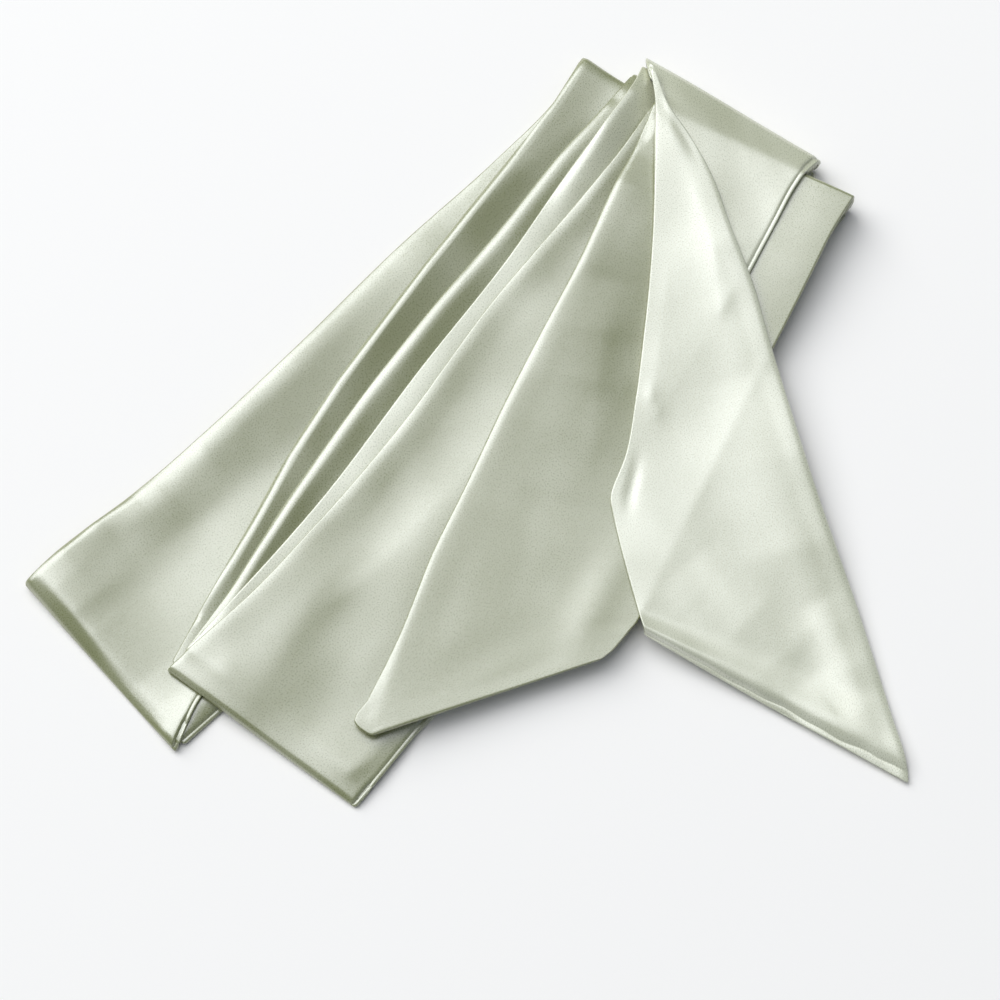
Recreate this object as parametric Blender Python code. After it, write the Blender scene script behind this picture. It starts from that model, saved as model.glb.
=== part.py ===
"""Satin sash, doubled at its middle and folded zig-zag into a low soft pile.

The sash is one long strip of satin, folded lengthwise and seamed, so it is a flat tube with
two slanted ends. It is doubled at its middle, folded to and fro three times, and its two
ends are laid out as tails. The upper tail is turned over on a long diagonal fold.

Every stretch of the strip between two folds is a leg. A leg is a wall of the tube's
thickness that lies on whatever is already under it, so the legs are laid one by one, from
the surface upwards, on a height map of the pile. At a fold the upper leg is the one that
reaches down round the end of the lower leg.

Lengths in the tables are millimetres, +X to the right, +Y away from the front, +Z up. The
origin is the middle of the pile's footprint, on the surface.
"""

import math
from collections import namedtuple

import bmesh
import bpy
import numpy as np

MM = 0.001

# The cloth
PLY = 1.2               # thickness of the flattened tube, two layers of satin and air
GAP = 0.35              # clear space between one leg and the next
EDGE_KEEP = 0.3         # share of the thickness left at a rounded edge
EDGE_ROUND = 1.1        # how far in from a long edge the rounding reaches
FOLD_ROUND = 3.0        # how far in from a fold line the fold's wall reaches
FOLD_BACK = 0.3         # slant of the inner face of a fold's wall
LEG_SHORT = 4.6         # how far short of the fold line the lower leg stops
HEM_ROW = 5.0           # how far in from a hem the row lies that shapes its blunt corners
CORNER = 2.5            # radius of a leg's corners, seen from above

# The mesh of a leg
STATION_STEP = 12.0     # spacing of the cross rows along a leg
COLUMNS = 7             # columns between the rounded long edges

# The height map of the pile
CELL = 2.0
HALF_X, HALF_Y = 230.0, 210.0
SPREAD = 13.0           # a leg clears everything nearer than this to each of its points
SOFTEN_PASSES = 2
DRAPE_PASSES = 70

SAGE = (0.44, 0.49, 0.35, 1.0)
SATIN_ROUGHNESS = 0.33

# A rung is a line straight across the sash, from its left edge to its right edge.
Rung = namedtuple("Rung", "left_x left_y right_x right_y")

# Fold lines and hems. Two legs share each fold line.
FIRST_FRONT_FOLD = Rung(-203, -79.5, -131, -158.5)
SECOND_FRONT_FOLD_OUTER = Rung(-136, -121, -49, -184)
SECOND_FRONT_FOLD_INNER = Rung(-128, -112, -50, -171.5)
FIRST_BACK_FOLD_INNER = Rung(56, 185.5, 144, 124.5)
FIRST_BACK_FOLD_OUTER = Rung(81, 177, 167, 115.5)
SECOND_BACK_FOLD_INNER = Rung(90, 157.5, 185, 108.5)
SECOND_BACK_FOLD_OUTER = Rung(86, 183.5, 170, 128.5)
UNDER_TAIL_HEM = Rung(-42, -153, 62, -117)
TOP_TAIL_HEM = Rung(82, -105.5, 196, -171.5)

# A leg, in the order in which it is laid.
#   rungs: from one end to the other
#   start, end: "hem" for a free end, "under" where the next leg folds over this one, or the
#       name of the leg below that this one's fold reaches down to
#   turned, turned_over: the first and last rung that have a diagonal fold as their left
#       edge, and the leg below that the fold reaches down to
#   fall: how steeply the cloth comes down from the edge of what carries it
Leg = namedtuple("Leg", "name rungs start end fall turned turned_over")

LEGS = (
    Leg("bottom_band", (
        FIRST_FRONT_FOLD,
        Rung(-182, -62, -107, -136),
        Rung(-127, -17, -50, -88),
        Rung(-40, 70, 36, -4),
        Rung(40, 140, 118, 70),
        FIRST_BACK_FOLD_OUTER), "under", "under", 0.35, None, None),
    Leg("left_band", (
        FIRST_FRONT_FOLD,
        Rung(-186, -62.5, -118, -130.5),
        Rung(-157, -38.5, -85, -103.5),
        Rung(-128, -12.5, -53, -85.5),
        Rung(-84, 31.5, -9, -42.5),
        Rung(-32, 87.5, 45, 14.5),
        Rung(16, 134.5, 96, 64.5),
        Rung(41, 161.5, 123, 96.5),
        FIRST_BACK_FOLD_INNER), "bottom_band", "under", 0.35, None, None),
    Leg("step_band_1", (
        SECOND_FRONT_FOLD_OUTER,
        Rung(-119, -87.5, -32, -149),
        Rung(-99, -49.5, -12, -108),
        Rung(-83, -18.5, 5, -80),
        Rung(-61, 17.5, 26, -42.5),
        Rung(-20, 76.5, 66, 16.5),
        Rung(16, 125.5, 102, 66.5),
        Rung(40, 157.5, 126, 101.5),
        FIRST_BACK_FOLD_INNER), "under", "left_band", 0.35, None, None),
    Leg("step_band_2", (
        SECOND_FRONT_FOLD_INNER,
        Rung(-111, -88, -27, -146.5),
        Rung(-82, -40, 4, -98.5),
        Rung(-54, 10, 31, -51.5),
        Rung(-17, 56, 66, -7.5),
        Rung(16, 94, 100, 33),
        Rung(45, 133, 130, 73),
        Rung(68, 160, 153, 99.5),
        FIRST_BACK_FOLD_OUTER), "under", "bottom_band", 0.35, None, None),
    Leg("step_band_3", (
        SECOND_FRONT_FOLD_INNER,
        Rung(-116, -99, -33, -159.5),
        Rung(-70, -45, 16, -105.5),
        Rung(-24, 25, 61, -35),
        Rung(16, 76, 100, 16),
        Rung(51, 126, 136, 69),
        Rung(66, 147, 150, 92),
        Rung(81, 170, 162, 115),
        SECOND_BACK_FOLD_OUTER), "step_band_2", "under", 0.3, None, None),
    Leg("middle_band", (
        SECOND_FRONT_FOLD_OUTER,
        Rung(-123, -109, -36, -168),
        Rung(-102, -90, -20, -148),
        Rung(-67, -51, 12, -110),
        Rung(-31, -6, 47, -64),
        Rung(16, 61, 100, 2),
        Rung(55, 109, 138, 49),
        Rung(72, 130, 156, 71),
        SECOND_BACK_FOLD_INNER), "step_band_1", "under", 0.15, None, None),
    Leg("under_tail", (
        UNDER_TAIL_HEM,
        Rung(-49.5, -147, 67, -113),
        Rung(-44, -136, 71, -108.5),
        Rung(-30, -106.5, 75.5, -103),
        Rung(-16, -69.5, 80, -97),
        Rung(-3, -41.5, 90, -76.5),
        Rung(16, 0.5, 106, -44.5),
        Rung(54, 76.5, 144, 32.5),
        Rung(71, 114.5, 163, 69.5),
        Rung(80, 131.5, 173, 89.5),
        SECOND_BACK_FOLD_INNER), "hem", "middle_band", 0.07, None, None),
    Leg("turn_band", (
        SECOND_BACK_FOLD_OUTER,
        Rung(88, 171.5, 163, 121.5),
        Rung(95.5, 151.5, 156, 111.5),
        Rung(95, 129.5, 147, 94.5),
        Rung(94, 101.5, 134, 69.5),
        Rung(93, 81.5, 126, 53.5),
        Rung(91, 56.5, 112, 31.5),
        Rung(88, 31.5, 99, 9.5),
        Rung(85, 9.5, 90, -2.5)), "step_band_3", "under", 0.25, None, None),
    Leg("top_tail", (
        Rung(87.5, 176, 89, 175),
        Rung(89, 165, 92.5, 164),
        Rung(90, 154, 97, 151),
        Rung(89.5, 142, 104, 140),
        Rung(89, 117, 116, 117),
        Rung(88, 90, 125, 90),
        Rung(86, 64, 135, 62),
        Rung(83, 37, 142.5, 33.5),
        Rung(79, 7, 152, -0.5),
        Rung(74, -20.5, 159.5, -26.5),
        Rung(67, -39.5, 166, -47.5),
        Rung(68, -48.5, 172, -66),
        Rung(71, -62.5, 178, -84),
        Rung(76, -82.5, 186.5, -113),
        Rung(80, -97.5, 195, -144),
        Rung(81.5, -103, 202, -168),
        TOP_TAIL_HEM), "hem", "hem", 0.12, (2, 10), "turn_band"),
)


# ---- The height map of the pile ----------------------------------------------------------

GRID_X = np.arange(-HALF_X, HALF_X + CELL, CELL)
GRID_Y = np.arange(-HALF_Y, HALF_Y + CELL, CELL)


def spread(field, reach):
    """Raise each cell to the highest cell within reach of it."""
    cells = int(math.ceil(reach / CELL))
    raised = field.copy()
    for down in range(-cells, cells + 1):
        for across in range(-cells, cells + 1):
            if down * down + across * across <= cells * cells:
                raised = np.maximum(raised, np.roll(field, (down, across), (0, 1)))
    return raised


def drape(field, fall):
    """Let cloth come down from every high cell no more steeply than fall."""
    hung = field.copy()
    for _ in range(DRAPE_PASSES):
        for down, across in ((0, 1), (1, 0), (0, -1), (-1, 0), (1, 1), (1, -1), (-1, 1), (-1, -1)):
            drop = fall * CELL * math.hypot(down, across)
            hung = np.maximum(hung, np.roll(hung, (down, across), (0, 1)) - drop)
    return hung


def soften(field):
    """Average each cell with its eight neighbours, a few times."""
    soft = field
    for _ in range(SOFTEN_PASSES):
        rows = (np.roll(soft, 1, 0) + soft + np.roll(soft, -1, 0)) / 3
        soft = (np.roll(rows, 1, 1) + rows + np.roll(rows, -1, 1)) / 3
    return soft


def read(field, x, y):
    """Height of a field at points x, y, between the four cells round each."""
    across = np.clip((x + HALF_X) / CELL, 0, len(GRID_X) - 1.001)
    up = np.clip((y + HALF_Y) / CELL, 0, len(GRID_Y) - 1.001)
    i, j = across.astype(int), up.astype(int)
    p, q = across - i, up - j
    near = field[j, i] * (1 - p) + field[j, i + 1] * p
    far = field[j + 1, i] * (1 - p) + field[j + 1, i + 1] * p
    return near * (1 - q) + far * q


def add_to_pile(pile, x, y, z):
    """Raise the pile to a leg's upper side, sampled finely between its grid points."""
    fine_rows = np.linspace(0, x.shape[0] - 1, x.shape[0] * 12)
    fine_columns = np.linspace(0, x.shape[1] - 1, x.shape[1] * 12)
    i = np.minimum(fine_rows.astype(int), x.shape[0] - 2)
    j = np.minimum(fine_columns.astype(int), x.shape[1] - 2)
    p, q = (fine_rows - i)[:, None], (fine_columns - j)[None, :]

    def between(grid):
        first = grid[np.ix_(i, j)] * (1 - q) + grid[np.ix_(i, j + 1)] * q
        second = grid[np.ix_(i + 1, j)] * (1 - q) + grid[np.ix_(i + 1, j + 1)] * q
        return first * (1 - p) + second * p

    fx, fy, fz = between(x), between(y), between(z)
    column = np.round((fx + HALF_X) / CELL).astype(int)
    row = np.round((fy + HALF_Y) / CELL).astype(int)
    np.maximum.at(pile, (row, column), fz)


# ---- A leg's outline ---------------------------------------------------------------------

def through(points, at, where):
    """Smooth curve through points, known at the parameters at, read at where."""
    slope = np.gradient(points, at, axis=0)
    i = np.clip(np.searchsorted(at, where, side="right") - 1, 0, len(at) - 2)
    span = (at[i + 1] - at[i])[:, None]
    t = ((where - at[i]) / (at[i + 1] - at[i]))[:, None]
    return ((2 * t ** 3 - 3 * t ** 2 + 1) * points[i]
            + (t ** 3 - 2 * t ** 2 + t) * span * slope[i]
            + (3 * t ** 2 - 2 * t ** 3) * points[i + 1]
            + (t ** 3 - t ** 2) * span * slope[i + 1])


def end_rows(kind):
    """Distances from a fold line or hem at which a leg has close rows."""
    if kind == "under":
        return [LEG_SHORT, LEG_SHORT + EDGE_ROUND]
    if kind == "hem":
        return [0, EDGE_ROUND, HEM_ROW]
    return [0, 0.25 * FOLD_ROUND, FOLD_ROUND, FOLD_ROUND + FOLD_BACK]


def rounding(distance, reach):
    """How full the wall is at a distance from its edge: a quarter ellipse, cut blunt."""
    t = np.clip(distance / reach, 0, 1)
    return EDGE_KEEP + (1 - EDGE_KEEP) * np.sqrt(1 - (1 - t) ** 2)


def lay_out(leg):
    """Plan position of every grid point, and its distance from each edge of the leg."""
    rungs = np.array(leg.rungs, float)
    left, right = rungs[:, :2], rungs[:, 2:]
    middle = (left + right) / 2
    steps = np.linalg.norm(np.diff(middle, axis=0), axis=1)
    at = np.concatenate([[0], np.cumsum(steps)])
    length = at[-1]

    first, last = end_rows(leg.start), end_rows(leg.end)
    inner = length - first[-1] - last[-1]
    count = max(3, int(round(inner / STATION_STEP)))
    between = first[-1] + inner * np.arange(1, count) / count
    along = np.concatenate([first, between, length - np.array(last[::-1])])
    left, right = through(left, at, along), through(right, at, along)

    # Round the corners: near an end both long edges are drawn in.
    from_end = np.minimum(along - first[0], length - last[0] - along)
    drawn_in = CORNER * (1 - np.sqrt(1 - (1 - np.clip(from_end / CORNER, 0, 1)) ** 2))
    width = np.linalg.norm(right - left, axis=1)
    drawn_in = np.minimum(drawn_in, 0.2 * width)
    across = (right - left) / width[:, None]
    left, right = left + across * drawn_in[:, None], right - across * drawn_in[:, None]
    width = width - 2 * drawn_in

    # Columns: close ones at the edges, squeezed where the leg is narrow.
    left_edge = end_rows("fold") if leg.turned else [0, EDGE_ROUND]
    squeeze = np.minimum(1, width / (4 * FOLD_ROUND))
    from_left = [squeeze * offset for offset in left_edge]
    from_right = [width - squeeze * EDGE_ROUND, width]
    for k in range(1, COLUMNS + 1):
        share = k / (COLUMNS + 1)
        from_left.append(from_left[len(left_edge) - 1] * (1 - share) + from_right[0] * share)
    offsets = np.stack(from_left + from_right, axis=1)
    x = left[:, :1] + across[:, :1] * offsets
    y = left[:, 1:] + across[:, 1:] * offsets
    return x, y, along, at, offsets, width, squeeze


# ---- Laying the legs ---------------------------------------------------------------------

def lay(leg, pile, undersides):
    """Lay a leg on the pile. Returns its plan, its upper side and its lower side."""
    x, y, along, at, offsets, width, squeeze = lay_out(leg)
    under = soften(drape(spread(pile, SPREAD), leg.fall))
    under = np.where(under > 0.05, under + GAP, 0.0)
    undersides[leg.name] = under
    low = read(under, x, y)
    high = low + PLY

    full = np.ones_like(x)
    for kind, distance in ((leg.start, along), (leg.end, at[-1] - along)):
        if kind == "under":
            full *= rounding(distance - LEG_SHORT, EDGE_ROUND)[:, None]
        elif kind == "hem":
            full *= rounding(distance, EDGE_ROUND)[:, None]
        else:
            wall = distance <= FOLD_ROUND + 0.01
            low[wall] = read(undersides[kind], x[wall], y[wall])
            full *= rounding(distance, FOLD_ROUND)[:, None]
    from_left = offsets / squeeze[:, None]
    from_right = (width[:, None] - offsets) / squeeze[:, None]
    left_reach = np.full(len(along), EDGE_ROUND)
    if leg.turned:
        turned = (along > at[leg.turned[0]]) & (along < at[leg.turned[1]])
        wall = (from_left <= FOLD_ROUND + 0.01) & turned[:, None]
        low[wall] = read(undersides[leg.turned_over], x[wall], y[wall])
        left_reach[turned] = FOLD_ROUND
    full *= rounding(from_left, left_reach[:, None])
    full *= rounding(from_right, EDGE_ROUND)

    middle = (high + low) / 2
    top = middle + (high - middle) * full
    bottom = middle - (middle - low) * full
    add_to_pile(pile, x, y, top)
    return x, y, top, bottom


def satin(name):
    """The sash's own material: pale sage green satin."""
    material = bpy.data.materials.new(name)
    material.use_nodes = True
    shader = material.node_tree.nodes["Principled BSDF"]
    shader.inputs["Base Color"].default_value = SAGE
    shader.inputs["Roughness"].default_value = SATIN_ROUGHNESS
    shader.inputs["Metallic"].default_value = 0.0
    return material


def make_wall(name, x, y, top, bottom):
    """Close an upper and a lower grid into one wall and add it to the scene."""
    rows, columns = x.shape
    upper = np.stack([x, y, top], axis=-1).reshape(-1, 3) * MM
    lower = np.stack([x, y, bottom], axis=-1).reshape(-1, 3) * MM
    index = np.arange(rows * columns).reshape(rows, columns)
    count = rows * columns
    quads = np.stack([index[:-1, :-1], index[:-1, 1:], index[1:, 1:], index[1:, :-1]],
                     axis=-1).reshape(-1, 4)
    rim = np.concatenate([index[0, :-1], index[:-1, -1], index[-1, :0:-1], index[:0:-1, 0]])
    after = np.roll(rim, -1)
    sides = np.stack([rim, after, after + count, rim + count], axis=-1)
    faces = quads.tolist() + (quads[:, ::-1] + count).tolist() + sides[:, ::-1].tolist()

    mesh = bpy.data.meshes.new(name)
    mesh.from_pydata(np.concatenate([upper, lower]).tolist(), [], faces)
    cleaned = bmesh.new()
    cleaned.from_mesh(mesh)
    bmesh.ops.recalc_face_normals(cleaned, faces=cleaned.faces)
    cleaned.to_mesh(mesh)
    cleaned.free()
    mesh.shade_smooth()
    mesh.set_sharp_from_angle(angle=math.radians(50))
    mesh.materials.append(satin(name + "_satin"))
    wall = bpy.data.objects.new(name, mesh)
    bpy.context.scene.collection.objects.link(wall)
    return wall


def main():
    for old in list(bpy.data.objects):
        bpy.data.objects.remove(old, do_unlink=True)
    pile = np.zeros((len(GRID_Y), len(GRID_X)))
    undersides = {}
    for leg in LEGS:
        make_wall(leg.name, *lay(leg, pile, undersides))
    print("highest point of the pile: %.1f mm" % pile.max())


main()
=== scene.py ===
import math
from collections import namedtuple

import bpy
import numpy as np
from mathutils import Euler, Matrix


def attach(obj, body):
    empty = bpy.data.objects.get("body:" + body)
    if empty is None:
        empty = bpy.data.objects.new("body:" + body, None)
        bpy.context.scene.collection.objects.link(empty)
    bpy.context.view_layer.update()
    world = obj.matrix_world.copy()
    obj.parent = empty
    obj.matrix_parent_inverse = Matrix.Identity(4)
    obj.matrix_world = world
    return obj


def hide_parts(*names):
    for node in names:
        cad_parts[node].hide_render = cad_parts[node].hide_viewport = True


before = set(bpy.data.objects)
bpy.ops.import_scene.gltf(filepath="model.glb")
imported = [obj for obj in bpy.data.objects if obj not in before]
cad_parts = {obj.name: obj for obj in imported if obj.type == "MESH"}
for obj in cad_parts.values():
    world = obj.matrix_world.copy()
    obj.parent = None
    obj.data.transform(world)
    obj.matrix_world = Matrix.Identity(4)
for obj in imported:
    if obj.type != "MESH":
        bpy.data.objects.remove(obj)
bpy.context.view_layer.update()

# %% [markdown]
# # A satin sash, doubled and folded to and fro
#
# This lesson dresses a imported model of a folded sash. The real thing is one long strip of
# satin, folded lengthwise and sewn into a flat tube. It is doubled at its middle, folded
# zig-zag into a low pile, and its two ends are laid out as tails.
#
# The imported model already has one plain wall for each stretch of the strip. Here each wall
# gets a thin cloth shell in its place: soft folded edges, a sewn edge, rounded folds, and the
# creases that give satin its light and dark bands.

MM = 0.001
print("nodes:", ", ".join(sorted(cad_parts)))

# %% [markdown]
# ## The camera first
#
# The pile is seen from steeply above, from its front. A long lens far away keeps the strips
# from spreading, as a product shot does. The camera is aimed with a formula and not with a
# constraint, so its place and turn can be read off.

# %% Camera
SIGHT = np.array([16.0, -38.0, 0.0]) * MM     # the point at the middle of the picture
CAMERA_HEIGHT_ANGLE = math.radians(73.0)      # above the surface
CAMERA_DISTANCE = 1.5                         # metres
SEEN_WIDTH = 0.465                            # width of the picture at the point it aims at
SENSOR = 36.0                                 # width of the film, in mm

camera = bpy.data.objects.new("camera", bpy.data.cameras.new("camera"))
camera.data.sensor_width = SENSOR
camera.data.lens = SENSOR * CAMERA_DISTANCE / SEEN_WIDTH
camera.location = SIGHT + CAMERA_DISTANCE * np.array(
    [0.0, -math.cos(CAMERA_HEIGHT_ANGLE), math.sin(CAMERA_HEIGHT_ANGLE)])
camera.rotation_euler = (math.pi / 2 - CAMERA_HEIGHT_ANGLE, 0.0, 0.0)
bpy.context.scene.collection.objects.link(camera)
bpy.context.scene.camera = camera
print("lens: %.0f mm" % camera.data.lens)

# %% [markdown]
# ## The strip, stretch by stretch
#
# A stretch of the strip between two folds is called a leg. Its outline could be drawn as a
# polygon, but cloth has a direction, and the creases and the weave must follow it. So a leg
# is a ladder: each rung is a straight line across the strip, from its left edge to its right
# edge, and smooth curves run through the ends of the rungs. The numbers are millimetres.

# %% Folds and hems
Rung = namedtuple("Rung", "left_x left_y right_x right_y")

FIRST_FRONT_FOLD = Rung(-203, -79.5, -131, -158.5)
SECOND_FRONT_FOLD_OUTER = Rung(-136, -121, -49, -184)
SECOND_FRONT_FOLD_INNER = Rung(-128, -112, -50, -171.5)
FIRST_BACK_FOLD_INNER = Rung(56, 185.5, 144, 124.5)
FIRST_BACK_FOLD_OUTER = Rung(81, 177, 167, 115.5)
SECOND_BACK_FOLD_INNER = Rung(90, 157.5, 185, 108.5)
SECOND_BACK_FOLD_OUTER = Rung(86, 183.5, 170, 128.5)
UNDER_TAIL_HEM = Rung(-42, -153, 62, -117)
TOP_TAIL_HEM = Rung(82, -105.5, 201, -173)


def rung_length(rung):
    """Length of a rung: the root of its run squared plus its rise squared."""
    return math.hypot(rung.right_x - rung.left_x, rung.right_y - rung.left_y)


print("front folds, mm long: %.0f and %.0f"
      % (rung_length(FIRST_FRONT_FOLD), rung_length(SECOND_FRONT_FOLD_OUTER)))

# %% [markdown]
# ## The ladders
#
# Nine legs show, and here they are in the order in which they are laid, because each rests on
# those before it. Each end of a leg is a hem, or it lies "under" the leg that folds over it,
# or it is the upper half of a fold and names the leg whose underside the fold reaches. `fall`
# is how steeply the cloth comes down from what carries it. The top tail is turned over on a
# long diagonal fold, which runs from its rung `turned[0]` to `turned[1]`, and reaches down to
# the leg `turned_over`.

# %% The legs
Leg = namedtuple("Leg", "name rungs start end fall turned turned_over")

LEGS = (
    Leg("bottom_band", (
        FIRST_FRONT_FOLD,
        Rung(-182, -62, -107, -136),
        Rung(-127, -17, -50, -88),
        Rung(-40, 70, 36, -4),
        Rung(40, 140, 118, 70),
        FIRST_BACK_FOLD_OUTER), "under", "under", 0.35, None, None),
    Leg("left_band", (
        FIRST_FRONT_FOLD,
        Rung(-186, -62.5, -118, -130.5),
        Rung(-157, -38.5, -85, -103.5),
        Rung(-128, -12.5, -53, -85.5),
        Rung(-84, 31.5, -9, -42.5),
        Rung(-32, 87.5, 45, 14.5),
        Rung(16, 134.5, 96, 64.5),
        Rung(41, 161.5, 123, 96.5),
        FIRST_BACK_FOLD_INNER), "bottom_band", "under", 0.35, None, None),
    Leg("step_band_1", (
        SECOND_FRONT_FOLD_OUTER,
        Rung(-119, -87.5, -32, -149),
        Rung(-99, -49.5, -12, -108),
        Rung(-83, -18.5, 5, -80),
        Rung(-61, 17.5, 26, -42.5),
        Rung(-20, 76.5, 66, 16.5),
        Rung(16, 125.5, 102, 66.5),
        Rung(40, 157.5, 126, 101.5),
        FIRST_BACK_FOLD_INNER), "under", "left_band", 0.35, None, None),
    Leg("step_band_2", (
        SECOND_FRONT_FOLD_INNER,
        Rung(-111, -88, -27, -146.5),
        Rung(-82, -40, 4, -98.5),
        Rung(-48.5, 10, 31, -51.5),
        Rung(-14.5, 56, 66, -7.5),
        Rung(16, 94, 100, 33),
        Rung(45, 133, 130, 73),
        Rung(68, 160, 153, 99.5),
        FIRST_BACK_FOLD_OUTER), "under", "bottom_band", 0.35, None, None),
    Leg("step_band_3", (
        SECOND_FRONT_FOLD_INNER,
        Rung(-116, -99, -33, -159.5),
        Rung(-70, -45, 16, -105.5),
        Rung(-20, 25, 61, -35),
        Rung(18, 76, 100, 16),
        Rung(51, 126, 136, 69),
        Rung(66, 147, 150, 92),
        Rung(81, 170, 162, 115),
        SECOND_BACK_FOLD_OUTER), "step_band_2", "under", 0.3, None, None),
    Leg("middle_band", (
        SECOND_FRONT_FOLD_OUTER,
        Rung(-123, -109, -36, -168),
        Rung(-102, -90, -20, -148),
        Rung(-67, -51, 12, -110),
        Rung(-31, -6, 47, -64),
        Rung(16, 61, 100, 2),
        Rung(55, 109, 138, 49),
        Rung(72, 130, 156, 71),
        SECOND_BACK_FOLD_INNER), "step_band_1", "under", 0.15, None, None),
    Leg("under_tail", (
        UNDER_TAIL_HEM,
        Rung(-49.5, -147, 67, -113),
        Rung(-44, -136, 71, -108.5),
        Rung(-30, -106.5, 75.5, -103),
        Rung(-16, -69.5, 80, -97),
        Rung(-3, -41.5, 90, -76.5),
        Rung(16, 0.5, 106, -44.5),
        Rung(54, 76.5, 144, 32.5),
        Rung(71, 114.5, 163, 69.5),
        Rung(80, 131.5, 173, 89.5),
        SECOND_BACK_FOLD_INNER), "hem", "middle_band", 0.03, None, None),
    Leg("turn_band", (
        SECOND_BACK_FOLD_OUTER,
        Rung(88, 171.5, 163, 121.5),
        Rung(95.5, 151.5, 156, 111.5),
        Rung(95, 129.5, 147, 94.5),
        Rung(94, 101.5, 134, 69.5),
        Rung(93, 81.5, 126, 53.5),
        Rung(91, 56.5, 112, 31.5),
        Rung(88, 31.5, 99, 9.5),
        Rung(85, 9.5, 90, -2.5)), "step_band_3", "under", 0.25, None, None),
    Leg("top_tail", (
        Rung(87.5, 176, 89, 175),
        Rung(89, 165, 92.5, 164),
        Rung(90, 154, 97, 151),
        Rung(89.5, 142, 104, 140),
        Rung(89, 117, 116, 117),
        Rung(88, 90, 125, 90),
        Rung(86, 64, 135, 62),
        Rung(83, 37, 142.5, 33.5),
        Rung(79, 7, 152, -0.5),
        Rung(74, -20.5, 159.5, -26.5),
        Rung(67, -39.5, 166, -47.5),
        Rung(68, -48.5, 172, -66),
        Rung(71, -62.5, 178, -84),
        Rung(76, -82.5, 186.5, -113),
        Rung(80, -97.5, 195, -144),
        Rung(81.5, -103, 200, -163),
        TOP_TAIL_HEM), "hem", "hem", 0.12, (2, 10), "turn_band"),
)
print(len(LEGS), "legs, with", sum(len(leg.rungs) for leg in LEGS), "rungs")

# %% [markdown]
# ## Creases
#
# Satin shows its shape by the light it throws back, so a swell of a millimetre or two makes
# a bright band beside a dark one. Noise could swell the cloth, but real creases start at a
# fold or a crest and run along the strip. So each crease is a bent line with a height at
# every point, a soft ridge, or a trough where its height is below zero. Where a crease runs,
# how wide it is and how high it stands are set one by one, because no two are alike.

# %% Crease table, in millimetres
# width: how wide the bell is. fall: length of the slope on its right, or 0 for a bell there too.
Crease = namedtuple("Crease", "width fall line")
Point = namedtuple("Point", "x y height")

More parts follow.
